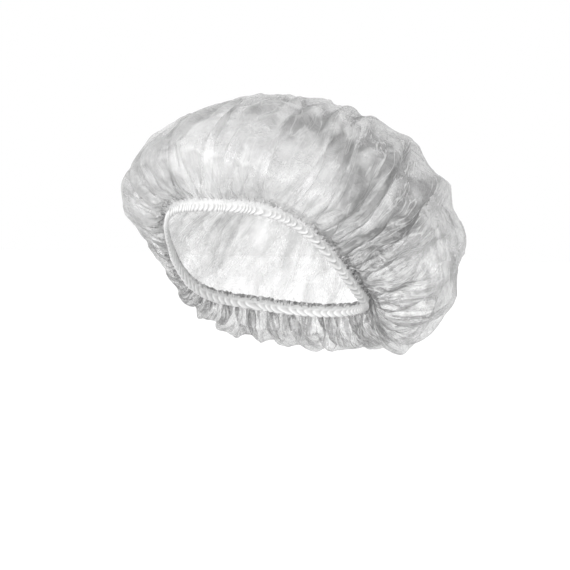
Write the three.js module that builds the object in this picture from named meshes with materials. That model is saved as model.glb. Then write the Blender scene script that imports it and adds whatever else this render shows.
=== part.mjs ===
// A disposable shower cap in its worn shape: one round blank of thin polyethylene film, gathered
// along its edge into a hem that folds over a flat elastic band. The film balloons out past the
// hem, rests highest over the crown of the head and hangs lowest in a bag behind the nape.
//
// Units are millimetres. +Z is up and the forehead side faces -Y, so the wearer's left is +X.
// The origin is the middle of the head opening, halfway between the hem's highest point at the
// forehead and its lowest at the nape. Real film is 0.02 mm thick: the walls here are 1 mm.
import * as THREE from "three";

// Walls and clearances.
const filmWall = 1; // crown film
const casingWall = 1; // each leaf of the folded hem
const seatGap = 0.4; // between the hem's leaves and what lies between them

// The gathered hem.
const puckers = 80; // gathers in the hem, one every 7.2 mm of the stretched elastic
const puckerSwell = 0.9; // how far a pucker stands out from the casing's outer face
const puckerPinch = 0.3; // how far the casing draws in between two puckers
const elasticWidth = 4.4;
const elasticThick = 1;
const casingBelow = 3.6; // from the elastic's middle down to the casing's lower edge
const leafTop = 6.4; // from the elastic's middle up to the top edge of both leaves
const tuckBottom = 3.4; // the crown film starts this far above the elastic's middle
const filmExit = 7.6; // and leaves the hem here, still running straight up it
const rollOver = { out: 4.8, up: 10 }; // then it rolls outwards over the casing's top edge

// The loop that the elastic follows round the head. Columns are directions from the middle of
// the opening: forehead, temple, ear, behind the ear and nape, 45 degrees apart.
const directions = ["forehead", "temple", "ear", "behindEar", "nape"];
const hemLoop = {
  reach: { forehead: 90, temple: 83, ear: 78, behindEar: 84, nape: 90 },
  height: { forehead: 47, temple: 34, ear: -15, behindEar: -39, nape: -47 },
  lean: { forehead: 0, temple: 0, ear: 12, behindEar: 30, nape: 36 }, // degrees, top edge out
};

// The crown's sections from the hem to the top: how far the film stands out from the middle
// axis, and how high it lies, in each direction.
const crownSections = [
  {
    name: "skirt",
    reach: { forehead: 98, temple: 92, ear: 89, behindEar: 100, nape: 107 },
    height: { forehead: 63, temple: 41, ear: -10, behindEar: -57, nape: -62 },
  },
  {
    name: "underside",
    reach: { forehead: 102, temple: 99, ear: 98, behindEar: 124, nape: 131 },
    height: { forehead: 69, temple: 46, ear: -2, behindEar: -67, nape: -74 },
  },
  {
    name: "belly",
    reach: { forehead: 106, temple: 107, ear: 112, behindEar: 152, nape: 160 },
    height: { forehead: 77, temple: 53, ear: 12, behindEar: -44, nape: -59 },
  },
  {
    name: "flank",
    reach: { forehead: 108, temple: 112, ear: 122, behindEar: 164, nape: 176 },
    height: { forehead: 86, temple: 63, ear: 30, behindEar: -12, nape: -28 },
  },
  {
    name: "widest",
    reach: { forehead: 106, temple: 114, ear: 128, behindEar: 168, nape: 182 },
    height: { forehead: 95, temple: 74, ear: 50, behindEar: 21, nape: 6 },
  },
  {
    name: "shoulder",
    reach: { forehead: 99, temple: 110, ear: 124, behindEar: 159, nape: 175 },
    height: { forehead: 105, temple: 86, ear: 72, behindEar: 54, nape: 41 },
  },
  {
    name: "slope",
    reach: { forehead: 84, temple: 97, ear: 109, behindEar: 138, nape: 155 },
    height: { forehead: 116, temple: 102, ear: 93, behindEar: 86, nape: 78 },
  },
  {
    name: "crest",
    reach: { forehead: 58, temple: 69, ear: 81, behindEar: 103, nape: 118 },
    height: { forehead: 126, temple: 119, ear: 115, behindEar: 112, nape: 107 },
  },
  {
    name: "top",
    reach: { forehead: 24, temple: 30, ear: 43, behindEar: 56, nape: 66 },
    height: { forehead: 134, temple: 134, ear: 132, behindEar: 131, nape: 128 },
  },
];
const crownTop = { back: 12, height: 136 }; // the point where the film lies highest

// Where the slack film stands proud or is pressed in: the middle of each place as a turn in
// degrees from the forehead to the wearer's left and a share of the way from hem to top, how
// far it spreads both ways, and its depth, outwards above zero.
const dents = [
  { name: "corner behind the left ear", turn: 122, way: 0.54, wide: 14, tall: 0.06, depth: 5 },
  { name: "hollow above that corner", turn: 124, way: 0.65, wide: 18, tall: 0.06, depth: -4 },
  { name: "tuck under the bag", turn: 128, way: 0.33, wide: 16, tall: 0.06, depth: -6 },
  { name: "bulge over the right temple", turn: -68, way: 0.5, wide: 18, tall: 0.07, depth: 4 },
  { name: "hollow above that bulge", turn: -60, way: 0.68, wide: 20, tall: 0.06, depth: -4 },
  { name: "crease in the bag's back", turn: 176, way: 0.5, wide: 9, tall: 0.14, depth: -5 },
];

// Folds in the crown film: pleats that fan out from the hem, and slack waves in the bag.
const pleatDepth = 2.6;
const pleatPeak = 0.2; // share of the way from hem to top where the pleats are deepest
const pleatEnd = 0.55; // share of the way where the last of them have gone
const slackWaves = [
  { count: 9, depth: 1.4, phase: 2.1, middle: 0.35 },
  { count: 13, depth: 1.2, phase: 4.0, middle: 0.5 },
];
const slackSpread = 0.2; // how far from its middle a slack wave fades, as a share of the way up
const crownRings = 14; // tuck, exit and roll, then the rest evenly up to the top

const fullTurn = 2 * Math.PI;
const rollWay = 1 / (crownSections.length + 2); // where the film rolls over the casing's edge

// A smooth curve through values, at place t between values[1] (0) and values[2] (1).
function smoothBetween([a, b, c, d], t) {
  const slope = (c - a) / 2;
  const curve = a - 2.5 * b + 2 * c - d / 2;
  const twist = (d - a) / 2 + 1.5 * (b - c);
  return b + t * (slope + t * (curve + t * twist));
}

// The value of one table row's columns at a turn, in radians from the forehead.
function around(columns, turn) {
  const steps = 2 * (directions.length - 1);
  const place = ((((turn / fullTurn) * steps) % steps) + steps) % steps;
  const first = Math.floor(place);
  const near = [-1, 0, 1, 2].map((step) => {
    const index = (first + step + steps) % steps;
    return columns[directions[Math.min(index, steps - index)]];
  });
  return smoothBetween(near, place - first);
}

// The point that stands a reach out from the middle axis at a turn.
function pointAt(turn, reach, height) {
  return new THREE.Vector3(reach * Math.sin(turn), -reach * Math.cos(turn), height);
}

function hemPoint(turn) {
  return pointAt(turn, around(hemLoop.reach, turn), around(hemLoop.height, turn));
}

// The hem's own frame at a turn: out points away from the head, up across the band.
function hemFrame(turn) {
  const step = 0.002;
  const along = hemPoint(turn + step).sub(hemPoint(turn - step)).normalize();
  const lean = THREE.MathUtils.degToRad(around(hemLoop.lean, turn));
  const level = new THREE.Vector3(along.y, -along.x, 0).normalize();
  const up = new THREE.Vector3().crossVectors(level, along).normalize();
  up.applyAxisAngle(along, lean);
  const out = new THREE.Vector3().crossVectors(along, up).normalize();
  return { middle: hemPoint(turn), out, up };
}

function inHem(turn, outward, upward) {
  const { middle, out, up } = hemFrame(turn);
  return middle.addScaledVector(out, outward).addScaledVector(up, upward);
}

// The points that one meridian of the crown runs through, from the hem's edge to the top.
function meridian(turn) {
  const sections = crownSections.map(({ reach, height }) =>
    pointAt(turn, around(reach, turn), around(height, turn)),
  );
  const top = new THREE.Vector3(0, crownTop.back, crownTop.height);
  return [inHem(turn, 0, filmExit), inHem(turn, rollOver.out, rollOver.up), ...sections, top];
}

// The crown's smooth middle surface: way runs from 0 where it leaves the hem to 1 at the top.
function crownSurface(turn, way) {
  const points = meridian(turn);
  const last = points.length - 1;
  const place = Math.min(way * last, last - 1e-6);
  const first = Math.floor(place);
  const beyond = first + 2 <= last ? points[first + 2] : meridian(turn + Math.PI)[last - 1];
  const near = [points[Math.max(first - 1, 0)], points[first], points[first + 1], beyond];
  const axisValue = (axis) => smoothBetween(near.map((p) => p[axis]), place - first);
  return new THREE.Vector3(axisValue("x"), axisValue("y"), axisValue("z"));
}

function crownNormal(turn, way) {
  const step = 0.004;
  const across = crownSurface(turn + step, way).sub(crownSurface(turn - step, way));
  const upTo = Math.min(way + step, 1);
  const up = crownSurface(turn, upTo).sub(crownSurface(turn, Math.max(way - step, 0)));
  return across.cross(up).normalize();
}

// How far the dents move the film out at a place.
function dentDepth(turn, way) {
  const parts = dents.map(({ turn: middle, way: level, wide, tall, depth }) => {
    const apart = THREE.MathUtils.euclideanModulo(turn * THREE.MathUtils.RAD2DEG - middle + 180, 360);
    return depth * Math.exp(-(((apart - 180) / wide) ** 2) - ((way - level) / tall) ** 2);
  });
  return parts.reduce((sum, value) => sum + value, 0);
}

// How far the folds move the film out at a station of the grid. A pleat is one station out and
// the next one in, so the film zigzags round the hem.
function foldDepth(station, turn, way) {
  const rise = THREE.MathUtils.smoothstep(way, rollWay, pleatPeak);
  const fall = 1 - THREE.MathUtils.smoothstep(way, pleatPeak, pleatEnd);
  const pleat = pleatDepth * rise * fall * (station % 2 ? -1 : 1);
  const slack = slackWaves.map(({ count, depth, phase, middle }) => {
    const near = Math.exp(-(((way - middle) / slackSpread) ** 2));
    return depth * near * rise * Math.cos(count * turn + phase);
  });
  return pleat + dentDepth(turn, way) + slack.reduce((sum, value) => sum + value, 0);
}

// A geometry from a list of points and the triangles between them.
function bodyFrom(points, triangles) {
  const geometry = new THREE.BufferGeometry();
  const flat = points.flatMap((p) => [p.x, p.y, p.z]);
  geometry.setAttribute("position", new THREE.Float32BufferAttribute(flat, 3));
  geometry.setIndex(triangles);
  geometry.computeVertexNormals();
  return geometry;
}

// One point of the crown's grid, on the skin that lies half a wall to the given side of the
// folded middle surface. Ring 0 is the film's edge, tucked into the hem, and ring 1 its exit.
function crownPoint(ring, station, side) {
  const turn = (station / puckers) * fullTurn;
  if (ring < 2) {
    return inHem(turn, side * filmWall, ring ? filmExit : tuckBottom);
  }
  const way = rollWay + ((1 - rollWay) * (ring - 2)) / (crownRings - 2);
  const shift = foldDepth(station, turn, way) + side * filmWall;
  return crownSurface(turn, way).addScaledVector(crownNormal(turn, way), shift);
}

// The crown: an outer and an inner skin, each closed at the top and both joined at the edge.
function crownGeometry() {
  const points = [];
  const triangles = [];
  const rowStart = (skin, ring) => skin * (crownRings * puckers + 1) + ring * puckers;
  for (const side of [0.5, -0.5]) {
    for (let ring = 0; ring < crownRings; ring++) {
      for (let station = 0; station < puckers; station++) {
        points.push(crownPoint(ring, station, side));
      }
    }
    points.push(new THREE.Vector3(0, crownTop.back, crownTop.height + side * filmWall));
  }
  for (let station = 0; station < puckers; station++) {
    const next = (station + 1) % puckers;
    for (const skin of [0, 1]) {
      const face = (a, b, c) => triangles.push(...(skin ? [a, c, b] : [a, b, c]));
      for (let ring = 0; ring < crownRings - 1; ring++) {
        const [low, high] = [rowStart(skin, ring), rowStart(skin, ring + 1)];
        face(low + station, low + next, high + next);
        face(low + station, high + next, high + station);
      }
      const lastRow = rowStart(skin, crownRings - 1);
      face(lastRow + station, lastRow + next, lastRow + puckers);
    }
    const [outer, inner] = [rowStart(0, 0), rowStart(1, 0)];
    triangles.push(outer + station, inner + next, outer + next);
    triangles.push(outer + station, inner + station, inner + next);
  }
  return bodyFrom(points, triangles);
}

// A closed ring: profileAt(station) gives one closed outline as [out, up] pairs, anticlockwise
// seen along the loop, and the ring carries it round the hem.
function ringGeometry(stations, profileAt) {
  const points = [];
  const triangles = [];
  for (let station = 0; station < stations; station++) {
    const turn = (station / stations) * fullTurn;
    points.push(...profileAt(station).map(([out, up]) => inHem(turn, out, up)));
  }
  const corners = profileAt(0).length;
  for (let station = 0; station < stations; station++) {
    const next = (station + 1) % stations;
    for (let corner = 0; corner < corners; corner++) {
      const after = (corner + 1) % corners;
      const [a, b] = [station * corners + corner, station * corners + after];
      const [c, d] = [next * corners + after, next * corners + corner];
      triangles.push(a, c, b, a, d, c);
    }
  }
  return bodyFrom(points, triangles);
}

// The hem casing: film folded up round the elastic like a U, its two leaves rising on both
// sides of the crown film's edge. Every other station is a pucker, the rest are the pinches.
function casingProfile(station) {
  const channel = elasticThick / 2 + seatGap; // half the room between the leaves at the elastic
  const slot = filmWall / 2 + seatGap; // and at the crown film's edge, above it
  const floor = -elasticWidth / 2 - seatGap;
  const shoulder = elasticWidth / 2 + seatGap;
  const isPucker = station % 2 === 0;
  const swell = isPucker ? puckerSwell : -puckerPinch;
  const outer = channel + casingWall;
  const below = casingBelow + (isPucker ? puckerPinch : 0);
  return [
    [slot, leafTop],
    [channel, floor],
    [-channel, floor],
    [-slot, leafTop],
    [-slot - casingWall, leafTop],
    [-outer, -elasticWidth / 2],
    [-casingWall, -below],
    [casingWall, -below],
    [outer + swell * 0.7, -elasticWidth / 2],
    [outer + swell, 0],
    [slot + casingWall, shoulder + casingWall],
    [slot + casingWall, leafTop],
  ];
}

function elasticProfile() {
  const [thick, width] = [elasticThick / 2, elasticWidth / 2];
  return [
    [thick, -width],
    [thick, width],
    [-thick, width],
    [-thick, -width],
  ];
}

function piece(name, geometry, color, roughness, opacity) {
  const material = new THREE.MeshStandardMaterial({
    color,
    roughness,
    metalness: 0,
    opacity,
    transparent: opacity < 1,
  });
  const mesh = new THREE.Mesh(geometry, material);
  mesh.name = name;
  return mesh;
}

const cap = new THREE.Group();
cap.add(piece("crown_film", crownGeometry(), "#e6e9ea", 0.25, 0.35));
cap.add(piece("hem_casing", ringGeometry(2 * puckers, casingProfile), "#f1f2f2", 0.35, 0.8));
cap.add(piece("elastic_band", ringGeometry(puckers, elasticProfile), "#f7f6f2", 0.7, 1));

export default cap;
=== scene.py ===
import math
from functools import partial

import bpy
import numpy as np
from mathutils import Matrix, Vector


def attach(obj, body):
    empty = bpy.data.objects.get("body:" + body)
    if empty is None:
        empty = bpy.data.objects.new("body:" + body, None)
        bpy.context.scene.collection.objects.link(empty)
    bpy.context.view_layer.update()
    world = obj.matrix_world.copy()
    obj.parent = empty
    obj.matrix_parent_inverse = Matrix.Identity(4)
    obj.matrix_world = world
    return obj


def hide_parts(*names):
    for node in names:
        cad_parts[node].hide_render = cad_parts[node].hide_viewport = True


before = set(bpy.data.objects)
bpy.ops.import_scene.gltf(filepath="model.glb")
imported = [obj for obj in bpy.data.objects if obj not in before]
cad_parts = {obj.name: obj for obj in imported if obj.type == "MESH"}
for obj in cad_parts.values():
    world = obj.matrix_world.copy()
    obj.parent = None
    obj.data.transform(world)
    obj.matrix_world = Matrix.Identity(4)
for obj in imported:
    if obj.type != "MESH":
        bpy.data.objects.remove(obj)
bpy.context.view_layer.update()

fullTurn = 2 * math.pi
metre = 0.001  # every length below is in millimetres, and this turns it into metres


def report(stage):
    print("shower cap:", stage)


# The line where the cap grips the head. The columns are the forehead, temple, ear, behind the ear and
# nape, 45 degrees apart. reach is from the head's axis, and lean tips the band's top edge outwards.
headLoop = {
    "reach": (90, 83, 78, 84, 90),
    "height": (47, 34, -15, -39, -47),
    "lean": (0, 0, 12, 30, 36),
    "length": 578,  # mm along it, which scales the patterns that run round it
}


def aroundHead(columns, turn):
    # sum of five cosines of the turn, weighted so that it passes through the five columns
    steps = np.arange(5)
    weights = np.linalg.solve(np.cos(np.outer(steps, steps) * math.pi / 4), np.asarray(columns, float))
    return np.cos(np.multiply.outer(turn, steps)) @ weights


def unit(vectors):
    # each vector divided by its own length
    return vectors / np.maximum(np.linalg.norm(vectors, axis=-1, keepdims=True), 1e-9)


def ramp(values):
    # values cut off below 0 and above 1
    return np.clip(values, 0, 1)


def heading(angle):
    # (sine, -cosine): angle 0 points to the forehead, and it grows towards +X
    return np.stack([np.sin(angle), -np.cos(angle)], -1)


def levelLine(reach, height, turn):
    # the heading of the turn times its reach, at its height, both given in columns
    reach, height = aroundHead(reach, turn), aroundHead(height, turn)
    return np.concatenate([reach[..., None] * heading(turn), height[..., None]], -1)


def loopPoint(turn):
    return levelLine(headLoop["reach"], headLoop["height"], turn)


def inHem(turn, outward, upward):
    # loop point plus outward and upward lengths along the band's own leaning axes
    along = unit(loopPoint(turn + 0.002) - loopPoint(turn - 0.002))
    level = unit(np.stack([along[..., 1], -along[..., 0], np.zeros_like(turn)], -1))
    lean = np.radians(aroundHead(headLoop["lean"], turn))[..., None]
    up = np.cos(lean) * np.cross(level, along) + np.sin(lean) * level
    out = np.cross(along, up)
    return loopPoint(turn) + out * np.asarray(outward)[..., None] + up * np.asarray(upward)[..., None]


def evenTurns(count):
    # turns that cut the head line into equal lengths, read off its running length
    fine = np.linspace(0, fullTurn, 4001)
    steps = np.linalg.norm(np.diff(loopPoint(fine), axis=0), axis=1)
    length = np.concatenate([[0], np.cumsum(steps)])
    return np.interp(np.arange(count) / count * length[-1], length, fine)


def degreesFrom(middle, turn):
    # the turn in degrees less the middle, brought between -180 and 180
    return (np.degrees(turn) - middle + 180) % 360 - 180


def bell(u, v):
    # e to the power of -(u2 + v2): 1 at the middle, and near nothing two steps from it
    return np.exp(-(u**2) - v**2)


def smoothNoise(dice, stations, rows, cellsRound, cellsUp):
    # random heights on a coarse net, closed round the ring, joined by the smooth step 3t2 - 2t3
    net = dice.standard_normal((cellsRound, cellsUp + 2))
    u = np.arange(stations) / stations * cellsRound
    v = np.arange(rows) / rows * cellsUp
    cellU, cellV = u.astype(int), v.astype(int)
    u, v = u - cellU, v - cellV
    u, v = (u * u * (3 - 2 * u))[:, None], v * v * (3 - 2 * v)
    level = net[cellU % cellsRound] * (1 - u) + net[(cellU + 1) % cellsRound] * u
    return level[:, cellV] * (1 - v) + level[:, cellV + 1] * v


# The crown is a round blank of thin film, gathered into the hem. Each row is a level line of the shape
# that it fills: reach from the head's axis, then height, in the same five columns as headLoop.
crown = {
    "blankRadius": 298,
    "middleBack": 110,  # the blank's middle lies this far behind the top of the cap
    "evenBy": 0.8,  # share of the way in by which the grid's lines have the blank's own angles
    "tuck": (0, 4.6),  # inside the hem, as outward and upward lengths
    "exit": (0, 7.4),
    "rollOver": (4.2, 10.4),
    "levels": (
        ((98, 92, 89, 100, 107), (63, 41, -10, -57, -62)),
        ((102, 99, 98, 124, 131), (69, 46, -2, -67, -74)),
        ((106, 107, 112, 152, 160), (77, 53, 12, -44, -59)),
        ((108, 112, 122, 164, 176), (86, 63, 30, -12, -28)),
        ((106, 114, 128, 168, 182), (95, 74, 50, 21, 6)),
        ((99, 110, 124, 159, 175), (105, 86, 72, 54, 41)),
        ((84, 97, 109, 138, 155), (116, 102, 93, 86, 78)),
        ((58, 69, 81, 103, 118), (126, 119, 115, 112, 107)),
        ((24, 30, 43, 56, 66), (132, 132, 130, 129, 126)),
    ),
    "top": (0, 12, 133),
    # dents and lumps: turn in degrees, way from the hem (0) to the top (1), width, tallness, depth
    "dents": (
        (121, 0.55, 11, 0.04, 14),
        (120, 0.81, 16, 0.04, 2),
        (118, 0.42, 14, 0.05, 10),
        (-105, 0.42, 28, 0.1, -7),
        (124, 0.65, 18, 0.06, -4),
        (128, 0.33, 16, 0.06, -6),
        (-68, 0.5, 18, 0.07, 4),
        (-60, 0.68, 20, 0.06, -4),
        (-62, 0.76, 46, 0.17, -9),
        (176, 0.5, 9, 0.14, -5),
    ),
    # how far the film may stand out from the form: at the hem, and added to it in the gathers and in the
    # bag, each with a further length that is added at the back only
    "reach": {"hem": 0.9, "gathers": (4, 1), "bag": (1.6, 4.4)},
    "gathersGrowBy": 0.1,  # share of the way in
    "bagSlack": (0.08, 0.2, 1.05, 0.5),  # from, over, then gone at, over: shares of the way in
    "reachAtMiddle": (0.12, 0.3),  # over this last share of the way it falls to this share of itself
    "onCrown": (105, 30, 0.5),  # from this height, over this height, it loses this share
    "inward": 0.5,  # the film may stand this share as far inside the form as outside it
    "slide": (1, 20, 0.3),  # how far it may slide across the form: at the hem, added, and by this share
    "pleat": 0.8,  # half the depth of the pleats inside the hem
    "pleatOutside": 2.7,  # and added to it just outside
    "pleatFades": (9, 0.04),  # how fast they fade inwards, and the share by which they are outside
    "lumps": ((2.0, 22, 6), (1.8, 44, 13)),  # height, then cells round the hem and up to the middle
    "crumples": ((1.0, 4, 4), (1.5, 9, 7)),  # height, then stations and rows in each cell
    "crumpled": 0.8,
    "rises": (14, 4),  # how steeply lumps and crumples grow from the hem, and end at the middle
    "split": 1.5,  # the pleats start to split in two on the second grid
    "splitFades": (14, 40),  # how fast that fades inwards, and how steeply it grows at the hem
    "seed": 11,
    # stations round the hem, rows up to the middle, passes, and how much each pass evens out a bend
    "stages": ((160, 38, 1500, 0.03), (320, 76, 900, 0.03), (640, 152, 350, 0.04)),
    # the last of these where the rows crowd at the middle, then the share of the way in from which it
    # grows, the share over which it does, and the power of it
    "bendAtMiddle": (0.4, 0.8, 0.2, 1.5),
    "upwardShare": 0.8,  # and this share as much up the rows as round them
    "drawn": (0.42, 0.25),  # share of each side's excess length that a pass takes up, and of its lack
    "evenEvery": 25,  # passes between two times that narrow folds are evened out
    "finestFolds": (3.4, 22, 54),  # mm, the narrowest left: at the hem, over the brow, in the bag
    "foldsGrowBy": 0.3,
    "bagFrom": (58, 88),  # degrees from the brow, where the bag begins
}


def crownTable(turns, samples):
    # Catmull-Rom curves from the hem over the levels to the top, cut into equal lengths; then the dents,
    # each a bell of its turn and way, pushed along the surface's normal
    turn = np.linspace(0, fullTurn, turns + 1)
    rows = [inHem(turn, *crown[name]) for name in ("tuck", "exit", "rollOver")]
    rows += [levelLine(reach, height, turn) for reach, height in crown["levels"]]
    top = np.array(crown["top"], float)
    rows.append(np.broadcast_to(top, rows[0].shape))
    beyond = 2 * top - rows[-2]
    beyond[:, 2] = rows[-2][:, 2]
    control = np.stack([2 * rows[0] - rows[1]] + rows + [beyond])
    place = np.linspace(0, len(rows) - 1 - 1e-6, 420)
    first = place.astype(int)
    t = (place - first)[:, None, None]
    a, b, c, d = (control[first + k] for k in range(4))
    curve = b + t * ((c - a) / 2 + t * (a - 2.5 * b + 2 * c - d / 2 + t * ((d - a) / 2 + 1.5 * (b - c))))
    length = np.zeros((len(place), len(turn)))
    length[1:] = np.cumsum(np.linalg.norm(np.diff(curve, axis=0), axis=-1), axis=0)
    points = np.empty((len(turn), samples + 1, 3))
    way = np.empty(points.shape[:2])
    for j in range(len(turn)):
        at = np.interp(np.linspace(0, 1, samples + 1) * length[-1, j], length[:, j], place)
        way[j] = at / (len(rows) - 1)
        for axis in range(3):
            points[j, :, axis] = np.interp(at, place, curve[:, j, axis])
    across = np.empty_like(points)
    across[1:-1] = points[2:] - points[:-2]
    across[0] = across[-1] = points[1] - points[-2]
    normals = unit(np.cross(across, np.gradient(points, axis=1)))
    normals[:, -1] = (0, 0, 1)
    push = np.zeros_like(way)
    for middle, level, wide, tall, depth in crown["dents"]:
        push += depth * bell(degreesFrom(middle, turn)[:, None] / wide, (way - level) / tall)
    return turn, points + normals * push[..., None], normals, length[-1]


def lookUp(table, turn, share):
    # weighted mean of the four table entries round each (turn, share of the way up)
    turns, samples = table.shape[0] - 1, table.shape[1] - 1
    u, v = (turn % fullTurn) / fullTurn * turns, ramp(share) * samples
    i, j = np.minimum(u.astype(int), turns - 1), np.minimum(v.astype(int), samples - 1)
    u, v = (u - i)[..., None], (v - j)[..., None]
    low = table[i, j] * (1 - v) + table[i, j + 1] * v
    return low * (1 - u) + (table[i + 1, j] * (1 - v) + table[i + 1, j + 1] * v) * u


crownForm = crownTable(360, 240)


def crownGrid(stations, rows):
    # The form laid out flat round its top (turn as angle, length from the top as radius). A straight line
    # runs there from each hem point to the blank's middle, and its angle passes from the hem's to the
    # blank's own even one on the way; share t of that line gives row t.
    formTurn, points, normals, length = crownForm
    middle = np.array([0, crown["middleBack"]], float)
    hem = length[:, None] * heading(formTurn) - middle
    angle = np.unwrap(np.arctan2(hem[:, 0], -hem[:, 1]))
    angle -= angle[0]
    away = np.linalg.norm(hem, axis=-1)
    turn = evenTurns(stations)
    start = np.interp(turn, formTurn, angle)[:, None]
    even = (np.arange(stations) / stations * fullTurn)[:, None]
    t = (np.arange(rows) / rows)[None, :]
    ease = ramp(t / crown["evenBy"])
    way = start + (even - start) * ease * ease * (3 - 2 * ease)
    flat = np.interp(way % fullTurn, angle, away) * (1 - t)
    spot = middle + flat[..., None] * heading(way)
    spotTurn = np.arctan2(spot[..., 0], -spot[..., 1])
    share = 1 - np.linalg.norm(spot, axis=-1) / np.interp(spotTurn % fullTurn, formTurn, length)
    return lookUp(points, spotTurn, share), unit(lookUp(normals, spotTurn, share)), turn, t


def blankGrid(stations, rows):
    # the same grid on the flat round blank: even angles, radius falling evenly to the middle
    angle = np.arange(stations) / stations * fullTurn
    radius = crown["blankRadius"] * (1 - np.arange(rows) / rows)
    return radius[None, :, None] * heading(angle)[:, None, :]


def evenFine(offset, inBag):
    # Each ring's waves, faded out where they are shorter than the finest fold, which grows from the hem.
    # It is done for the brow and for the bag, and inBag mixes the two.
    stations, rows, _ = offset.shape
    waves = np.fft.rfft(offset, axis=0)
    count = np.arange(waves.shape[0])[:, None]
    share = np.arange(rows) / rows
    ring = fullTurn * crown["blankRadius"] * (1 - share)
    atHem, *further = crown["finestFolds"]
    both = []
    for widest in further:
        fold = atHem + (widest - atHem) * ramp(share / crown["foldsGrowBy"])
        keep = ramp(2 - count * fold / ring)
        both.append(np.fft.irfft(waves * keep[..., None], n=stations, axis=0))
    return (both[0] + (both[1] - both[0]) * inBag[:, None, None]).astype(np.float32)


def relaxFilm(film, form, normals, reach, slide, blank, passes, bend, inBag):
    # Film hardly stretches, so each pass draws every side and diagonal of the grid back towards its
    # length on the blank, evens bends a little, then holds each point within reach along the form's
    # normal and slide across it. Where the blank is longer than the form, folds rise by themselves.
    single = np.float32
    film, form, normals, reach, slide = (v.astype(single) for v in (film, form, normals, reach, slide))
    hemRow = film[:, 0].copy()
    # round the ring, up the rows, and the two diagonals: steps round, rows they leave, rows they reach
    every, lower, upper = slice(None), slice(None, -1), slice(1, None)
    sides = ((1, every, every), (0, lower, upper), (1, lower, upper), (1, upper, lower))
    spans = lambda grid, step, here, there: np.roll(grid, -step, 0)[:, there] - grid[:, here]
    lengths = [np.linalg.norm(spans(blank, *side), axis=-1).astype(single) for side in sides]
    for number in range(passes):
        for (step, here, there), length in zip(sides, lengths):
            span = spans(film, step, here, there)
            long = np.sqrt(np.einsum("...k,...k->...", span, span)) + 1e-6
            excess = (long - length) / long
            pull = span * (excess * np.where(excess > 0, *crown["drawn"]))[..., None]
            film[:, here] += pull
            film[:, there] -= np.roll(pull, step, 0)
        film += bend * ((np.roll(film, 1, 0) + np.roll(film, -1, 0)) / 2 - film)
        upward = (film[:, 2:] + film[:, :-2]) / 2 - film[:, 1:-1]
        film[:, 1:-1] += bend[:, 1:-1] * crown["upwardShare"] * upward
        away = film - form
        outward = np.einsum("...k,...k->...", away, normals)
        across = away - outward[..., None] * normals
        far = np.sqrt(np.einsum("...k,...k->...", across, across)) + 1e-6
        away = across * np.minimum(1, slide / far)[..., None]
        away += normals * np.clip(outward, -crown["inward"] * reach, reach)[..., None]
        if (number + 1) % crown["evenEvery"] == 0:
            away = evenFine(away, inBag)
        film = form + away
        film[:, 0] = hemRow
    return film


def refined(film, form, finer):
    # offsets from the form carried to twice the stations and rows, by the cubic midpoint (9, 9, -1, -1)/16
    offset = film - form
    stations, rows, _ = offset.shape
    before, after, next2 = (np.roll(offset, k, 0) for k in (1, -1, -2))
    round2 = np.empty((2 * stations, rows, 3))
    round2[0::2] = offset
    round2[1::2] = (9 * (offset + after) - before - next2) / 16
    padded = np.concatenate([round2[:, :1], round2, round2[:, -1:] / 2, round2[:, -1:] * 0], axis=1)
    both = np.empty((2 * stations, 2 * rows, 3))
    both[:, 0::2] = round2
    both[:, 1::2] = (9 * (padded[:, 1:-2] + padded[:, 2:-1]) - padded[:, :-3] - padded[:, 3:]) / 16
    return finer + both


def filmLimits(t, turn, form):
    # reach, along the form's normal, grows from the hem into the slack bag and shrinks again at the
    # blank's middle and on the crown; slide, across the normal, grows from the hem
    start, over, end, overLast = crown["bagSlack"]
    bag = ramp((t - start) / over) * ramp((end - t) / overLast)
    back = 0.5 - 0.5 * np.cos(turn)[:, None]
    gathers, gathersBack = crown["reach"]["gathers"]
    slack, slackBack = crown["reach"]["bag"]
    reach = crown["reach"]["hem"] + (gathers + gathersBack * back) * ramp(t / crown["gathersGrowBy"])
    reach = reach + bag * (slack + slackBack * back)
    over, least = crown["reachAtMiddle"]
    reach = reach * (least + (1 - least) * ramp((1 - t) / over))
    height, over, lost = crown["onCrown"]
    reach = reach * (1 - lost * ramp((form[..., 2] - height) / over))
    atHem, further, growsBy = crown["slide"]
    return reach, atHem + further * ramp(t / growsBy) + 0 * reach


def between(share, rises):
    # 0 at the hem and at the blank's middle, 1 in between
    atHem, atMiddle = rises
    return ramp(share * atHem) * ramp((1 - share) * atMiddle)


def zigzag(stations):
    # 1 and -1 by turns round the hem
    return np.where(np.arange(stations) % 2 == 0, 1.0, -1.0)[:, None]


def startedFolds(dice, form, normals, t, free):
    # the form, with a zigzag that starts one pleat for each pucker of the hem, and lumps of noise
    stations, rows, _ = form.shape
    fades, outside = crown["pleatFades"]
    depth = crown["pleat"] + crown["pleatOutside"] * ramp(t / outside)
    shift = zigzag(stations) * depth * np.exp(-fades * t)
    for height, cellsRound, cellsUp in crown["lumps"]:
        shift = shift + height * free * smoothNoise(dice, stations, rows, cellsRound, cellsUp)
    return form + normals * shift[..., None]


def crumpledFolds(dice, film, normals, t, free):
    # fresh noise starts finer creases, and on the second grid a zigzag starts to split the pleats
    stations, rows, _ = film.shape
    crumple = 0
    for height, inRound, inUp in crown["crumples"]:
        crumple = crumple + height * smoothNoise(dice, stations, rows, stations // inRound, rows // inUp)
    side = zigzag(stations) * (stations < crown["stages"][-1][0])
    fades, grows = crown["splitFades"]
    split = crown["split"] * side * np.exp(-fades * t) * ramp(t * grows)
    return film + normals * (crown["crumpled"] * free * crumple + split)[..., None]


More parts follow.
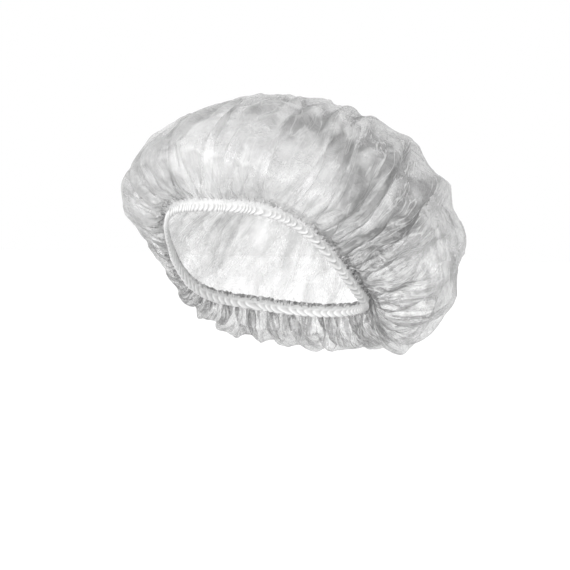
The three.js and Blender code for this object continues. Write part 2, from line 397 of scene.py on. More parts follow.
def gatheredFilm():
    # the started folds relaxed on three grids, each twice as fine as the last
    dice = np.random.default_rng(crown["seed"])
    film = None
    for stations, rows, passes, bend in crown["stages"]:
        form, normals, turn, t = crownGrid(stations, rows)
        free = between(t, crown["rises"])
        if film is None:
            film = startedFolds(dice, form, normals, t, free)
        else:
            film = crumpledFolds(dice, refined(film, oldForm, form), normals, t, free)
        atMiddle, start, over, power = crown["bendAtMiddle"]
        crowd = ramp((t - start) / over) ** power
        stiff = bend + (atMiddle - bend) * crowd + np.zeros((stations, 1))
        stiff = stiff[..., None].astype(np.float32)
        start, end = crown["bagFrom"]
        inBag = ramp((180 - np.abs(np.degrees(turn) - 180) - start) / (end - start))
        reach, slide = filmLimits(t, turn, form)
        blank = blankGrid(stations, rows)
        film = relaxFilm(film, form, normals, reach, slide, blank, passes, stiff, inBag)
        oldForm = form
        report(f"film relaxed on {stations} x {rows}")
    return film


# Creases pressed into the film while it lay folded in its packet: long straight lozenges on the blank.
creases = {
    "count": 800,
    "halfWidth": (2.0, 11.0),
    "halfLength": (16, 80),
    "slope": (0.06, 0.2),  # of each flank
    # share of them that run with the pleats: the radius' share times this, less this, at most this
    "alongPleats": (1.6, 0.5, 0.75),
    "stray": 0.45,  # spread of their run about the blank's radius, in radians
    "outward": 0.7,  # share of them that stand out, while the others stand in
    "rises": (12, 8),  # how steeply they grow from the hem, and end at the middle
    "seed": 23,
}


def creaseHeights(blank):
    # Each crease is a flat-sided ridge: slope * (halfWidth (1 - |along| / halfLength) - |across|), and
    # nothing below zero. Near the hem they run with the pleats, elsewhere anyhow.
    dice = np.random.default_rng(creases["seed"])
    count = creases["count"]
    away = crown["blankRadius"] * np.sqrt(dice.uniform(0.01, 1, count))
    angle = dice.uniform(0, fullTurn, count)
    middle = away[:, None] * heading(angle)
    steep, less, most = creases["alongPleats"]
    inPleats = np.clip(away / crown["blankRadius"] * steep - less, 0, most)
    anyhow = dice.uniform(0, fullTurn, count)
    isInPleats = dice.uniform(0, 1, count) < inPleats
    run = np.where(isInPleats, angle + dice.normal(0, creases["stray"], count), anyhow)
    along = heading(run)
    sizes = (dice.uniform(*creases[name], count) for name in ("halfWidth", "halfLength", "slope"))
    halfWidth, halfLength, slope = sizes
    slope = slope * np.where(dice.uniform(0, 1, count) < creases["outward"], 1, -1)
    height = np.zeros(blank.shape[:2])
    for k in range(count):
        x, y = blank[..., 0] - middle[k, 0], blank[..., 1] - middle[k, 1]
        far = np.abs(x * along[k, 0] + y * along[k, 1]) / halfLength[k]
        side = np.abs(x * along[k, 1] - y * along[k, 0])
        height += slope[k] * np.clip(halfWidth[k] * (1 - far) - side, 0, None)
    return height


# Patches of painted shade: the film is made greyer here to stand for shade. Turn in degrees, height,
# width in degrees, tallness, and how dense the middle is.
settled = {
    "patches": (
        (84, 60, 20, 46, 1.0),
        (76, 106, 20, 22, 0.7),
        (52, 110, 36, 20, 0.45),
        (0, 124, 55, 9, 0.35),
        (-36, 94, 16, 28, 0.55),
        (-17, 72, 5, 26, 0.5),
        (94, -14, 15, 18, 0.25),
        (-75, 78, 14, 34, 0.3),
        (150, 30, 24, 60, 0.35),
        (-148, 40, 34, 60, 0.4),
    ),
    "ragged": 0.5,  # how much their edges break up into streaks along the pleats
    "elsewhere": 0.05,  # what the streaks alone come to outside them
    "streaks": ((1.0, 90, 9), (0.7, 200, 22)),  # height, then cells round the hem and up to the middle
    "streaksEnd": (0.9, 0.45),  # share of the way in by which they are gone, and how long that takes
    "seed": 31,
}


def paintedShadeShare(film):
    # painted shade: sum of bells of turn and height, ragged by noise that is drawn out along the pleats
    # and fades before they all meet at the blank's middle
    dice = np.random.default_rng(settled["seed"])
    stations, rows, _ = film.shape
    turn = np.arctan2(film[..., 0], -film[..., 1])
    streaks = 0
    for height, cellsRound, cellsUp in settled["streaks"]:
        streaks = streaks + height * smoothNoise(dice, stations, rows, cellsRound, cellsUp)
    end, over = settled["streaksEnd"]
    streaks = streaks * ramp((end - np.arange(rows) / rows) / over)
    share = settled["elsewhere"] * streaks
    for middle, level, wide, tall, depth in settled["patches"]:
        share += depth * bell(degreesFrom(middle, turn) / wide, (film[..., 2] - level) / tall)
    return ramp(share * (1 + settled["ragged"] * streaks))


def gridNormals(points):
    # cross product of the steps round the ring and up the rows
    round2 = np.roll(points, -1, 0) - np.roll(points, 1, 0)
    return unit(np.cross(round2, np.gradient(points, axis=1)))


def makePiece(name, points, faceSets, uvSets):
    # a mesh from whole arrays: points in mm, faces as corner numbers, uv for each corner of each face
    mesh = bpy.data.meshes.new(name)
    corners = np.concatenate([faces.ravel() for faces in faceSets])
    sizes = np.concatenate([np.full(len(faces), faces.shape[1]) for faces in faceSets])
    mesh.vertices.add(len(points))
    mesh.vertices.foreach_set("co", (np.asarray(points, float) * metre).ravel())
    mesh.loops.add(len(corners))
    mesh.loops.foreach_set("vertex_index", corners)
    mesh.polygons.add(len(sizes))
    mesh.polygons.foreach_set("loop_start", np.concatenate([[0], np.cumsum(sizes)[:-1]]))
    mesh.update(calc_edges=True)
    mesh.polygons.foreach_set("use_smooth", np.ones(len(sizes), bool))
    mesh.uv_layers.new(name="laidFlat")
    mesh.uv_layers["laidFlat"].data.foreach_set("uv", np.concatenate([uv.ravel() for uv in uvSets]))
    mesh.validate()
    piece = bpy.data.objects.new(name, mesh)
    bpy.context.collection.objects.link(piece)
    return piece


def keepValues(piece, name, kind, values):
    # values for each vertex, kept on the mesh for its material
    kept = piece.data.attributes.new(name, kind, "POINT").data
    kept.foreach_set("vector" if kind == "FLOAT_VECTOR" else "value", values.ravel())


def filmPiece(name):
    # rings of quads from the hem inwards, then a fan of triangles that closes the middle
    film = gatheredFilm()
    stations, rows, _ = film.shape
    free = between(np.arange(rows) / rows, creases["rises"])
    height = creaseHeights(blankGrid(stations, rows)) * free
    film = film + gridNormals(film) * height[..., None]
    report("handling creases pressed in")
    points = np.concatenate([film.transpose(1, 0, 2).reshape(-1, 3), film[:, -1].mean(0)[None]])
    blank = blankGrid(stations, rows).transpose(1, 0, 2).reshape(-1, 2)
    flat = np.concatenate([blank, np.zeros((1, 2))]) / (2 * crown["blankRadius"]) + 0.5
    j = np.arange(stations)
    k = (j + 1) % stations
    row = np.arange(rows - 1)[:, None] * stations
    quads = np.stack([row + j, row + k, row + stations + k, row + stations + j], -1).reshape(-1, 4)
    last = (rows - 1) * stations
    fan = np.stack([last + j, last + k, np.full(stations, rows * stations)], -1)
    piece = makePiece(name, points, [quads, fan], [flat[quads], flat[fan]])
    # pleatWay follows the pleats: heading of the angle on the blank, and the share of the way in
    angle = np.tile(j / stations * fullTurn, rows)
    share = np.repeat(np.arange(rows) / rows, stations)
    way = np.concatenate([heading(angle), share[:, None]], -1)
    way = np.concatenate([way, [[0, 0, 1]]])
    keepValues(piece, "pleatWay", "FLOAT_VECTOR", way)
    # the share of painted shade, which makes the film's colour greyer where it stands for shade
    keepValues(piece, "settled", "FLOAT", np.append(paintedShadeShare(film).T.ravel(), 0))
    return piece


def ringPiece(name, rings):
    # a tube closed both ways: rings[station, profile point], its uv the share round and the share across
    stations, around, _ = rings.shape
    i, j = np.arange(stations)[:, None], np.arange(around)[None, :]
    number = lambda a, b: (a % stations) * around + b % around
    quads = np.stack([number(i, j), number(i + 1, j), number(i + 1, j + 1), number(i, j + 1)], -1)
    place = lambda a, b: np.stack([(a + 0 * b) / stations, (b + 0 * a) / around], -1)
    flat = np.stack([place(i, j), place(i + 1, j), place(i + 1, j + 1), place(i, j + 1)], -2)
    return makePiece(name, rings.reshape(-1, 3), [quads.reshape(-1, 4)], [flat.reshape(-1, 2)])


# The hem: the blank's edge folded over the elastic and welded, so it stands in a row of puckers.
hem = {
    "puckers": 80,
    "stationsEach": 16,
    "profile": 36,
    # the unpuckered profile, from the bottom edge to the top: height, then half the thickness there
    "heights": (-3.9, -3.6, -2.6, -1.0, 0.6, 1.8, 2.8, 4.0, 5.6, 6.6, 7.0),
    "halves": (0.0, 0.8, 1.4, 1.7, 1.6, 1.25, 0.85, 0.7, 0.6, 0.4, 0.0),
    "innerShare": 0.8,  # the side on the head is flatter
    "swell": 2.1,  # a full pucker stands this far out of its notches
    "rollTall": 3.6,  # the roll reaches this far above and below the elastic's middle
    "bow": 0.34,  # how far a pucker's ends lag its middle, in puckers, which bends it into a C
    "bowVaries": 0.16,
    "dimple": 1.3,  # depth of the hollow inside the C
    "rim": 0.7,  # how far the C itself stands up
    "fineMiddle": -15,  # degrees: the puckers are half as wide round here
    "fineSpread": 57,
    "fineFades": 20,
    "fineShare": 0.5,  # and this share as deep
    "uneven": (0.2, 0.3),  # how much puckers differ in size, and added to it in the fine ones
    "strays": 0.3,  # how far a pucker strays from its even place, in puckers
    "pillowPower": 2.6,
    # middle and spread across the pucker, from -1 to 1, then middle and spread of the height
    "hollowAt": (-0.3, 0.4, 0.8, 1.6),
    "rimAt": (0.45, 0.34, -0.6, 2.4),
    "restsAt": 0.45,  # where on the pillow the unpuckered profile lies
    "scallop": 0.8,  # the bottom edge rises this much in a notch
    "ruffle": 0.4,  # half the depth of the fine gathers in the welded margin
    "rufflesEach": 3,  # of them to a pucker
    "edgeWave": 0.3,  # how uneven the margin's top edge is
    # painted shade and highlight for the material's colour: darker in the notches, the hollows and the
    # fine puckers over the brow, a painted highlight along each rim; on the flat, and added to it
    "crowd": {"flat": 0.55, "rim": 0.6, "fine": -0.12, "notch": -0.6, "hollow": -0.25},
    "seed": 5,
}


def puckerShape(place, height, wobble):
    # With q the place across one pucker, from -1 to 1 and lagging with the square of the height: the
    # pillow 1 - |q|^2.6, a bell-shaped hollow before its middle and a bell-shaped rim behind it
    roll = hem["rollTall"]
    lag = -hem["bow"] * ((height - 1) / roll) ** 2 + hem["bowVaries"] * wobble * height / roll
    across = 2 * ((place - lag) % 1) - 1
    bells = [
        bell((across - middle) / wide, (height - level) / tall)
        for middle, wide, level, tall in (hem["hollowAt"], hem["rimAt"])
    ]
    return np.stack([1 - np.abs(across) ** hem["pillowPower"], *bells])


def gatheredHem(name):
    # Profile (half thickness, height) carried round the head line, plus the puckers, which are half as
    # wide over the brow, where the elastic pulls least. The margin above has waves of its own.
    dice = np.random.default_rng(hem["seed"])
    stations = hem["puckers"] * hem["stationsEach"]
    wave = lambda cells: smoothNoise(dice, stations, 1, cells, 1)[:, :1]
    turn = evenTurns(stations)
    s = np.arange(hem["profile"]) / hem["profile"] * fullTurn
    low, high = hem["heights"][0], hem["heights"][-1]
    height = (low + (high - low) * (1 - np.cos(s)) / 2)[None, :]
    half = np.interp(height, hem["heights"], hem["halves"])
    outer = np.where(s <= math.pi, 1.0, -hem["innerShare"])[None, :]
    front = ramp(outer) * ramp(np.sin(s))[None, :] ** 0.7
    place = np.arange(stations)[:, None] / hem["stationsEach"] + hem["strays"] * wave(44)
    fromBrow = np.abs(degreesFrom(hem["fineMiddle"], turn))[:, None]
    fine = ramp((hem["fineSpread"] - fromBrow) / hem["fineFades"] + 0.5)
    uneven, moreUneven = hem["uneven"]
    size = 1 + (uneven + moreUneven * fine) * wave(88)
    wide = puckerShape(place, height, wave(30))
    narrow = puckerShape(2 * place + 0.5 * wave(70), height, wave(50))
    pillow, hollow, rim = wide * (1 - fine) + narrow * fine
    size = size * (1 - (1 - hem["fineShare"]) * fine)
    roll = ramp((hem["rollTall"] - height) / 2.0)
    swell = hem["swell"] * (pillow - hem["restsAt"]) - hem["dimple"] * hollow + hem["rim"] * rim
    outward = half * outer + front * roll * size * swell
    gather = np.sin(fullTurn * (hem["rufflesEach"] * place + 0.9 * wave(150))) * (0.6 + 0.4 * wave(70))
    margin = ramp((height - 2.4) / 1.6)
    outward = outward + margin * hem["ruffle"] * gather
    bottom = ramp(-height / hem["rollTall"]) ** 2
    upward = height + bottom * hem["scallop"] * (1 - pillow) + margin * hem["edgeWave"] * wave(190)
    rings = inHem(np.repeat(turn[:, None], hem["profile"], 1), outward, upward)
    piece = ringPiece(name, rings)
    # kept: painted shade and painted highlight at each point, and how far up the margin it is
    crowd = hem["crowd"]
    layersAndPaintedLight = crowd["flat"] + crowd["rim"] * rim + crowd["fine"] * fine
    layersAndPaintedLight = layersAndPaintedLight + crowd["notch"] * (1 - pillow) * roll + crowd["hollow"] * hollow * roll
    kept = np.stack([ramp(layersAndPaintedLight), margin + 0 * pillow, 0 * pillow], -1)
    keepValues(piece, "puckered", "FLOAT_VECTOR", kept)
    return piece


# The elastic: a flat band of knitted rubber threads, seen faintly through the hem.
elastic = {
    "stations": 640,
    "profile": 20,
    "tall": 4.2,
    "thick": 0.9,
    "squareness": 0.45,
    "threads": 4,  # rubber threads side by side, each a low rib
    "rib": 0.07,
}


def flatElastic(name):
    # rounded oblong: a circle's sine and cosine drawn out to a power of 0.45, with a cosine rib for
    # each thread across its width
    turn = evenTurns(elastic["stations"])
    s = np.arange(elastic["profile"]) / elastic["profile"] * fullTurn
    square = lambda wave: np.sign(wave) * np.abs(wave) ** elastic["squareness"]
    height = -square(np.cos(s)) * elastic["tall"] / 2
    rib = elastic["rib"] * np.cos(fullTurn * elastic["threads"] * (height / elastic["tall"] + 0.5))
    outward = square(np.sin(s)) * (elastic["thick"] / 2 - rib)
    shape = (elastic["stations"], elastic["profile"])
    spread = [np.broadcast_to(v, shape) for v in (turn[:, None], outward[None], height[None])]
    return ringPiece(name, inHem(*spread))


film = filmPiece("gathered_film")
report(f"film of {len(film.data.polygons)} faces")
hemRing = gatheredHem("welded_hem")
report(f"hem of {len(hemRing.data.polygons)} faces")
elasticBand = flatElastic("flat_elastic")
report(f"elastic of {len(elasticBand.data.polygons)} faces")


def linear(code):
    # sRGB hex to linear light: ((c + 0.055) / 1.055)^2.4, and c / 12.92 near black
    parts = [int(code[i : i + 2], 16) / 255 for i in (1, 3, 5)]
    return tuple(c / 12.92 if c <= 0.04045 else ((c + 0.055) / 1.055) ** 2.4 for c in parts) + (1.0,)


def addNode(tree, kind, settings=None, links=None):
    # one node: settings are its options or its sockets' values, and links name for a socket the output,
    # or the node whose first output it is, that feeds it
    node = tree.nodes.new("ShaderNode" + kind)
    for name, value in (settings or {}).items():
        if isinstance(name, str) and hasattr(node, name):
            setattr(node, name, value)
        else:
            node.inputs[name].default_value = value
    for name, source in (links or {}).items():
        output = source.outputs[0] if isinstance(source, bpy.types.Node) else source
        tree.links.new(output, node.inputs[name])
    return node


def newMaterial(name):
    material = bpy.data.materials.new(name)
    material.use_nodes = True
    material.node_tree.nodes.clear()
    return material, partial(addNode, material.node_tree)


# settings that many nodes share
smoothStep = {"interpolation_type": "SMOOTHSTEP"}
times = {"operation": "MULTIPLY"}
timesPlus = {"operation": "MULTIPLY_ADD"}


def fromTo(numbers, options=None):
    # a MapRange's settings: its value goes from the first number to the second, its result from the
    # third to the fourth
    return {**(options or {}), **dict(enumerate(numbers, 1))}


# Low density polyethylene, blown into film 0.02 mm thick and never stretched: clear with a little milk
# in it, slippery, so each crease carries a thin hard glint while the flats show what is behind them.
# Where there are four numbers, something passes from the first to the second, and what depends on it
# from the third to the fourth.
clearFilm = {
    "tint": "#ececec",
    "ior": 1.51,
    "roughness": (0.22, 1, 0.46, 0.13),  # by slackness: over the brow, rubbing on the head has dulled it
    "milkRoughness": 0.5,
    "through": 0.5,  # share of the scattered light that leaves on the far side
    "clear": "#fdfdfd",  # what one layer lets through unscattered
    "layersAndPaintedLight": "#8c8c8c",  # what is left of it where pleats lie on each other, at a glancing view, and as painted shade in the gathers and in the shade patches
    "pleatShade": (0.46, 0.6, 0, 0.9),  # by the streak noise; this dimming of the pleats is partly painted shade
    "edgeShade": 0.42,
    "edgePower": 1.7,
    "bothFaces": 1.8,  # the film mirrors on its two faces, the second a little less
    "mostMirror": 0.26,  # crinkles keep even a glancing view from mirroring more than this
    "lets": 0.85,  # share of a lamp's light that one layer lets through to the next
    "haze": 0.12,  # share of light that one layer scatters
    "gatherHaze": 0.06,  # more of it where the gathers crowd at the hem
    "ridgeHaze": (0.48, 0.36, 0, 0.5),  # and along the folded edges of the pleats there
    "netHaze": 0.1,
    "hairHaze": 0.7,
    "cloudHaze": (0.45, 0.7, 0, 0.1),  # and in patches, where handling has dulled it
    "cloud": 26,  # mm across such a patch
    "slack": (-90, 40, 0.22, 1),  # by mm behind the head's axis: how crumpled the film is
    "hanging": (60, 150, 1, 0.8),  # and further back, how much of that is left in the hanging bag
    "gathered": (0, 0.34, 1, 0),  # by the share of the way from the hem to the blank's middle
    "apart": (0.55, 0.95, 1, 0),  # and where all that follows the pleats fades before it meets there
    "streak": (1.4, 22),  # mm between the fine pleats at the hem, and along them
    "streakDepth": 1.0,
    "facets": ((15, 0.5), (6, 0.55), (2.4, 0.5)),  # mm across the flat facets, and how steeply they tilt
    "nets": (47, 29),  # mm between the straight hard creases of two nets
    "netDepth": 0.25,
    "netWidth": 1.3,
    "splinter": (3.8, 30),  # mm across and along the narrow facets beside the pleats
    "splinterTilt": 2.3,
    "splinterShare": (0, 1, 0.45, 1),  # by how gathered the film is
    "hairline": (6, 80),  # mm between long thin creases at the hem, and along them
    "hairWidth": (0, 0.022, 1, 0),
    "hairDepth": 0.35,
    "hairShare": (0.1, 0.5, 0.2, 1),  # by how much painted shade lies there
    "crinkle": 1.3,  # mm across the finest crinkles
    "crinkleDepth": 1.2,
}


def alongPleats(add, pleatWay, size):
    # pleatWay drawn out so that one step is the size's first length round the hem and its second inwards
    across, long = size
    around = headLoop["length"] / across / fullTurn
    scale = (around, around, crown["blankRadius"] / long)
    return add("Mapping", {"Scale": scale}, {"Vector": pleatWay})


def flatFacets(add, at, settings):
    # each cell of a Voronoi net is a flat facet: its own random tilt times the way from its middle
    net = add("TexVoronoi", settings, {"Vector": at}).outputs
    tilt = add("VectorMath", {"operation": "SUBTRACT", 1: (0.5, 0.5, 0.5)}, {0: net["Color"]})
    way = add("VectorMath", {"operation": "SUBTRACT"}, {0: at, 1: net["Position"]})
    return add("VectorMath", {"operation": "DOT_PRODUCT"}, {0: tilt, 1: way}).outputs["Value"]


def howSlack(add):
    # the film is drawn smooth over the brow, crumpled beside it, and hangs smoother in the bag behind
    place = add("TexCoord").outputs["Object"]
    behind = add("SeparateXYZ", None, {"Vector": place}).outputs["Y"]
    shares = {}
    for socket, name in enumerate(("slack", "hanging")):
        front, back, here, there = clearFilm[name]
        share = fromTo((front * metre, back * metre, here, there), smoothStep)
        shares[socket] = add("MapRange", share, {"Value": behind})
    return add("Math", times, shares)


def hairlines(add, pleatWay, paintedShadeAt, fades):
    # they run where a long drawn noise passes its middle value, mostly in the patches of painted shade
    at = alongPleats(add, pleatWay, clearFilm["hairline"])
    noise = {"Scale": 1, "Detail": 3, "Roughness": 0.6, "Distortion": 0.3}
    hair = add("TexNoise", noise, {"Vector": at})
    hair = add("Math", {"operation": "SUBTRACT", 1: 0.5}, {0: hair})
    hair = add("Math", {"operation": "ABSOLUTE"}, {0: hair})
    hair = add("MapRange", fromTo(clearFilm["hairWidth"]), {"Value": hair})
    share = add("MapRange", fromTo(clearFilm["hairShare"]), {"Value": paintedShadeAt})
    for fade in (*fades, share):
        hair = add("Math", times, {0: hair, 1: fade})
    return hair


def hardCreases(add, blank, slack):
    # straight creases along the edges of two Voronoi nets, as heights from 0 to 1
    creased = []
    for cell in clearFilm["nets"]:
        net = {"voronoi_dimensions": "2D", "feature": "DISTANCE_TO_EDGE", "Scale": 1 / cell}
        net = add("TexVoronoi", net, {"Vector": blank}).outputs["Distance"]
        edge = {1: 0.0, 2: clearFilm["netWidth"] / cell, 3: 1.0, 4: 0.0}
        edge = add("MapRange", edge, {"Value": net})
        creased.append(add("Math", times, {0: edge, 1: slack}))
    return creased


def clearFilmMaterial():
    material, add = newMaterial("blownPolyethyleneFilm")
    width = 2 * crown["blankRadius"]
    flat = add("UVMap", {"uv_map": "laidFlat"})
    blank = add("Mapping", {"Scale": (width, width, 1)}, {"Vector": flat})
    pleatWay = add("Attribute", {"attribute_name": "pleatWay"}).outputs["Vector"]
    # painted shade: greyer film in patches, read from the mesh
    paintedShadeAt = add("Attribute", {"attribute_name": "settled"}).outputs["Fac"]
    share = add("SeparateXYZ", None, {"Vector": pleatWay}).outputs["Z"]
    gathered = fromTo(clearFilm["gathered"], smoothStep)
    gathered = add("MapRange", gathered, {"Value": share})
    apart = add("MapRange", fromTo(clearFilm["apart"]), {"Value": share})
    slack = howSlack(add)

    streak = {"Scale": 1, "Detail": 2, "Roughness": 0.6}
    streak = add("TexNoise", streak, {"Vector": alongPleats(add, pleatWay, clearFilm["streak"])})
    splinters = flatFacets(add, alongPleats(add, pleatWay, clearFilm["splinter"]), {"Scale": 1})
    left = add("MapRange", fromTo(clearFilm["splinterShare"]), {"Value": gathered})
    for fade in (left, apart):
        splinters = add("Math", times, {0: splinters, 1: fade})
    hair = hairlines(add, pleatWay, paintedShadeAt, (slack, apart))
    creased = hardCreases(add, blank, slack)
    crinkle = {"Scale": 1 / clearFilm["crinkle"], "Detail": 3, "Distortion": 0.6}
    crinkle = add("TexNoise", crinkle, {"Vector": blank})

    # every height with its strength and its depth in mm, each laid over the ones before it
    heights = [(add("Math", times, {0: streak, 1: gathered}), 0.5, clearFilm["streakDepth"])]
    for cell, tilt in clearFilm["facets"]:
        facet = flatFacets(add, blank, {"voronoi_dimensions": "2D", "Scale": 1 / cell})
        heights.append((add("Math", times, {0: facet, 1: slack}), 1, tilt))
    heights += [(edge, 1, clearFilm["netDepth"]) for edge in creased]
    heights.append((splinters, 1, clearFilm["splinterTilt"]))
    heights.append((add("Math", times, {0: crinkle, 1: slack}), 0.6, clearFilm["crinkleDepth"]))
    heights.append((hair, 1, clearFilm["hairDepth"]))
    bump = {}  # the link that hands the last normal on
    for height, strength, depth in heights:
        settings = {"Strength": strength, "Distance": depth * metre}
        bump = {"Normal": add("Bump", settings, {"Height": height, **bump})}

    # folded edges of the pleats and the hard creases turn white, as polyethylene does where it is bent
    ridge = fromTo(clearFilm["ridgeHaze"], smoothStep)
    ridge = add("MapRange", ridge, {"Value": streak})
    haze = add("Math", {**timesPlus, 2: clearFilm["gatherHaze"]}, {0: ridge, 1: slack})
    haze = add("Math", {**timesPlus, 2: clearFilm["haze"]}, {0: haze, 1: gathered})
    haze = add("Math", {**timesPlus, 1: clearFilm["hairHaze"]}, {0: hair, 2: haze})
    for edge in creased:
        haze = add("Math", {**timesPlus, 1: clearFilm["netHaze"]}, {0: edge, 2: haze})
    cloud = add("TexNoise", {"Scale": 1 / clearFilm["cloud"], "Detail": 2}, {"Vector": blank})
    cloud = add("MapRange", fromTo(clearFilm["cloudHaze"]), {"Value": cloud})
    haze = add("Math", {"operation": "ADD", "use_clamp": True}, {0: haze, 1: cloud})

    # light that goes straight through is dimmed where pleats lie on each other, at a glancing view and in
    # the patches of painted shade; in the gathers the dimming is partly painted shade
    dimmedAndShaded = fromTo(clearFilm["pleatShade"], smoothStep)
    dimmedAndShaded = add("MapRange", dimmedAndShaded, {"Value": streak})
    glancing = add("LayerWeight", {"Blend": 0.5}, bump).outputs["Facing"]
    glancing = add("Math", {"operation": "POWER", 1: clearFilm["edgePower"]}, {0: glancing})
    glancing = add("Math", {**times, 1: clearFilm["edgeShade"]}, {0: glancing})
    dimmedAndShaded = add("Math", timesPlus, {0: dimmedAndShaded, 1: gathered, 2: glancing})
    dimmedAndShaded = add("Math", {**timesPlus, "use_clamp": True}, {0: dimmedAndShaded, 1: slack, 2: paintedShadeAt})
    clear = {"data_type": "RGBA", 6: linear(clearFilm["clear"]), 7: linear(clearFilm["layersAndPaintedLight"])}
    clear = add("Mix", clear, {0: dimmedAndShaded}).outputs[2]
    clear = add("BsdfTransparent", None, {"Color": clear})

    tint = linear(clearFilm["tint"])
    milk = {"Base Color": tint, "Roughness": clearFilm["milkRoughness"], "IOR": clearFilm["ior"]}
    milk = add("BsdfPrincipled", milk, bump)
    through = add("BsdfTranslucent", {"Color": tint}, bump)
    milk = add("MixShader", {0: clearFilm["through"]}, {1: milk, 2: through})
    crisp = add("MapRange", fromTo(clearFilm["roughness"]), {"Value": slack})
    gloss = add("BsdfAnisotropic", {"Color": (1, 1, 1, 1)}, {"Roughness": crisp, **bump})
    mirror = add("Fresnel", {"IOR": clearFilm["ior"]}, bump)
    mirror = add("Math", {**times, 1: clearFilm["bothFaces"]}, {0: mirror})
    mirror = add("Math", {"operation": "MINIMUM", 1: clearFilm["mostMirror"]}, {0: mirror})
    body = add("MixShader", None, {0: haze, 1: clear, 2: milk})
    whole = add("MixShader", None, {0: mirror, 1: body, 2: gloss})
    shade = add("BsdfTransparent", {"Color": (clearFilm["lets"],) * 3 + (1,)})
    lamp = add("LightPath").outputs["Is Shadow Ray"]
    whole = add("MixShader", None, {0: lamp, 1: whole, 2: shade})
    add("OutputMaterial", None, {"Surface": whole})
    return material


# The same film, folded over and welded: four layers and more lie in each pucker, so it reads white and
# hides most of the elastic, with soft round glints on the puckers.
hemFilm = {
    # from notch to crest: painted shade in the notches and hollows, painted highlight along the rims
    "crest": "#fdfdfd",
    "notch": "#bcbcbc",
    "ior": 1.51,
    "roughness": 0.24,
    "cover": 0.9,
    "marginCover": 0.5,  # the welded margin is only two layers deep
    "through": 0.15,  # share of the light that leaves on the far side
    "wrinkle": 0.9,  # mm across its fine wrinkles
    "wrinkleDepth": 0.3,
}


def hemFilmMaterial():
    material, add = newMaterial("weldedPolyethyleneHem")
    place = add("TexCoord").outputs["Object"]
    inMm = add("Mapping", {"Scale": (1000, 1000, 1000)}, {"Vector": place})
    wrinkle = {"Scale": 1 / hemFilm["wrinkle"], "Detail": 2, "Distortion": 0.5}
    wrinkle = add("TexNoise", wrinkle, {"Vector": inMm})
    depth = hemFilm["wrinkleDepth"] * metre
    bump = {"Normal": add("Bump", {"Strength": 0.5, "Distance": depth}, {"Height": wrinkle})}
    puckered = add("Attribute", {"attribute_name": "puckered"}).outputs["Vector"]
    puckered = add("SeparateXYZ", None, {"Vector": puckered}).outputs
    # the colour carries painted shade in the notches and hollows and a painted highlight along the rims
    colour = {"data_type": "RGBA", 6: linear(hemFilm["notch"]), 7: linear(hemFilm["crest"])}
    colour = add("Mix", colour, {0: puckered["X"]}).outputs[2]
    body = {"Roughness": hemFilm["roughness"], "IOR": hemFilm["ior"]}
    body = add("BsdfPrincipled", body, {"Base Color": colour, **bump})
    through = add("BsdfTranslucent", None, {"Color": colour, **bump})
    body = add("MixShader", {0: hemFilm["through"]}, {1: body, 2: through})
    clear = add("BsdfTransparent", {"Color": (1, 1, 1, 1)})
    cover = {3: hemFilm["cover"], 4: hemFilm["marginCover"]}
    cover = add("MapRange", cover, {"Value": puckered["Y"]})
    whole = add("MixShader", None, {0: cover, 1: clear, 2: body})
    add("OutputMaterial", None, {"Surface": whole})
    return material


# Natural rubber threads covered in bleached polyester by knitting: matt and milk white, with fine
# stitches across the ribs.
knitElastic = {
    "yarn": "#f1f1ee",
    "gap": "#d4d4d0",
    "stitch": 0.9,  # mm
    "stitchDepth": 0.2,
    "roughness": 0.8,
}


def knitElasticMaterial():
    material, add = newMaterial("knittedElastic")
    flat = add("UVMap", {"uv_map": "laidFlat"})
    stitches = (round(headLoop["length"] / knitElastic["stitch"]), 2 * elastic["threads"], 1)
    rows = add("Mapping", {"Scale": stitches}, {"Vector": flat})
    knit = {"bands_direction": "DIAGONAL", "Scale": 1, "Distortion": 1.5, "Detail": 1}
    knit = add("TexWave", knit, {"Vector": rows})
    colour = {"data_type": "RGBA", 6: linear(knitElastic["gap"]), 7: linear(knitElastic["yarn"])}
    colour = add("Mix", colour, {0: knit}).outputs[2]
    depth = knitElastic["stitchDepth"] * metre
    bump = add("Bump", {"Strength": 0.6, "Distance": depth}, {"Height": knit})
    yarn = {"Roughness": knitElastic["roughness"]}
    yarn = add("BsdfPrincipled", yarn, {"Base Color": colour, "Normal": bump})
    add("OutputMaterial", None, {"Surface": yarn})
    return material


for piece, material, node, slotName in (
    (film, clearFilmMaterial(), "crown_film", "clear_film"),
    (hemRing, hemFilmMaterial(), "hem_casing", "hem_film"),
    (elasticBand, knitElasticMaterial(), "elastic_band", "white_elastic"),
):
    piece.data.materials.append(material)
    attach(piece, "root")
    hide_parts(node)
report("materials")
report("pieces declared")

# A white room: the backdrop and floor are seen as white, and what lights and mirrors in the film is
# greyer, as in a studio with its walls in shade.
studio = {
    # direction and the stretch of it over which a shade passes from the fourth number to the last: how
    # light the room is from below upwards, its shaded right side, and the backdrop's way back to white
    "shades": (("Z", -0.5, 0.8, 0.65, 0.86), ("X", -0.2, 0.9, 1.0, 0.6), ("Y", 0.1, 0.8, 0.0, 0.65)),
    "floorDepth": 1450,
    "floorSize": 60000,
    "floorColour": "#f4f4f4",
    "floorRoughness": 0.9,
    "floorGlow": 0.42,
    "speckle": (40, 0.5),  # to the metre, and mm deep
    "cameraTurn": 30,
    "cameraRise": 3,
    "distance": 2200,
    "frameWidth": 467.4,
    "aim": (15.6, -18.9),  # right of the head's axis and up from the origin, at the middle of the view
    "lightsAim": (0, 20, 30),
    # name, place, size, watts
    "lights": (
        ("keyLight", (-1500, -2100, 1000), 3200, 66),
        ("fillLight", (2300, -1350, 300), 2300, 42),
        ("rimLight", (900, 1700, 1500), 2400, 3),
        ("frontLight", (500, -2300, -150), 1700, 30),
    ),
}


def pointAt(thing, place, target):
    thing.location = place
    thing.rotation_euler = (target - place).to_track_quat("-Z", "Y").to_euler()


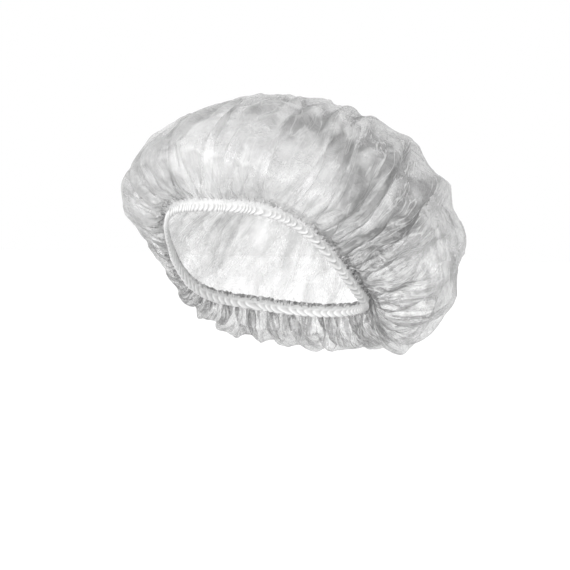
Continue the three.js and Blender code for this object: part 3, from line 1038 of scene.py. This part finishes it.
def addStudio():
    world = bpy.data.worlds.new("paleRoom")
    bpy.context.scene.world = world
    world.use_nodes = True
    world.node_tree.nodes.clear()
    add = partial(addNode, world.node_tree)
    seen = add("LightPath").outputs["Is Camera Ray"]
    way = add("TexCoord").outputs["Generated"]
    way = add("SeparateXYZ", None, {"Vector": way}).outputs
    shades = []
    for axis, *numbers in studio["shades"]:
        shade = fromTo(numbers, smoothStep)
        shades.append(add("MapRange", shade, {"Value": way[axis]}))
    rising, toRight, behind = shades
    lightness = add("Math", times, {0: rising, 1: toRight})
    lightness = add("Mix", {3: 1.0}, {0: behind, 2: lightness})
    room = add("Background", {"Color": (1, 1, 1, 1)}, {"Strength": lightness})
    white = add("Background", {"Color": (1, 1, 1, 1)})
    both = add("MixShader", None, {0: seen, 1: room, 2: white})
    add("OutputWorld", None, {"Surface": both})
    for name, place, size, watts in studio["lights"]:
        light = bpy.data.lights.new(name, "AREA")
        light.size, light.energy = size * metre, watts
        lamp = bpy.data.objects.new(name, light)
        bpy.context.collection.objects.link(lamp)
        pointAt(lamp, Vector(place) * metre, Vector(studio["lightsAim"]) * metre)


def addFloor():
    # one large square, matt pale paint, shown to the camera alone so that it casts no light upwards
    half, depth = studio["floorSize"] / 2 * metre, -studio["floorDepth"] * metre
    mesh = bpy.data.meshes.new("floor")
    corners = [(x * half, y * half, depth) for x, y in ((-1, -1), (1, -1), (1, 1), (-1, 1))]
    mesh.from_pydata(corners, [], [(0, 1, 2, 3)])
    floor = bpy.data.objects.new("floor", mesh)
    bpy.context.collection.objects.link(floor)
    material, add = newMaterial("mattWhitePaint")
    place = add("TexCoord").outputs["Object"]
    scale, deep = studio["speckle"]
    speckle = add("TexNoise", {"Scale": scale, "Detail": 2}, {"Vector": place})
    bump = add("Bump", {"Strength": 0.05, "Distance": deep * metre}, {"Height": speckle})
    colour, glow = linear(studio["floorColour"]), studio["floorGlow"]
    paint = {"Base Color": colour, "Emission Color": colour, "Emission Strength": glow}
    paint = {**paint, "Roughness": studio["floorRoughness"]}
    paint = add("BsdfPrincipled", paint, {"Normal": bump})
    add("OutputMaterial", None, {"Surface": paint})
    mesh.materials.append(material)
    floor.visible_diffuse = floor.visible_glossy = False


def addCamera():
    # on a circle round the aim point, the lens from frame width / distance = sensor / lens
    turn, rise = math.radians(studio["cameraTurn"]), math.radians(studio["cameraRise"])
    right = Vector((math.cos(turn), math.sin(turn), 0))
    back = Vector((math.sin(turn) * math.cos(rise), -math.cos(turn) * math.cos(rise), math.sin(rise)))
    aim = (right * studio["aim"][0] + Vector((0, 0, studio["aim"][1]))) * metre
    lens = bpy.data.cameras.new("camera")
    lens.lens = lens.sensor_width * studio["distance"] / studio["frameWidth"]
    camera = bpy.data.objects.new("camera", lens)
    bpy.context.collection.objects.link(camera)
    pointAt(camera, aim + back * studio["distance"] * metre, aim)
    bpy.context.scene.camera = camera


addStudio()
addFloor()
addCamera()
bpy.context.scene.view_settings.view_transform = "Standard"
bpy.context.scene.cycles.transparent_max_bounces = 32
report("studio")
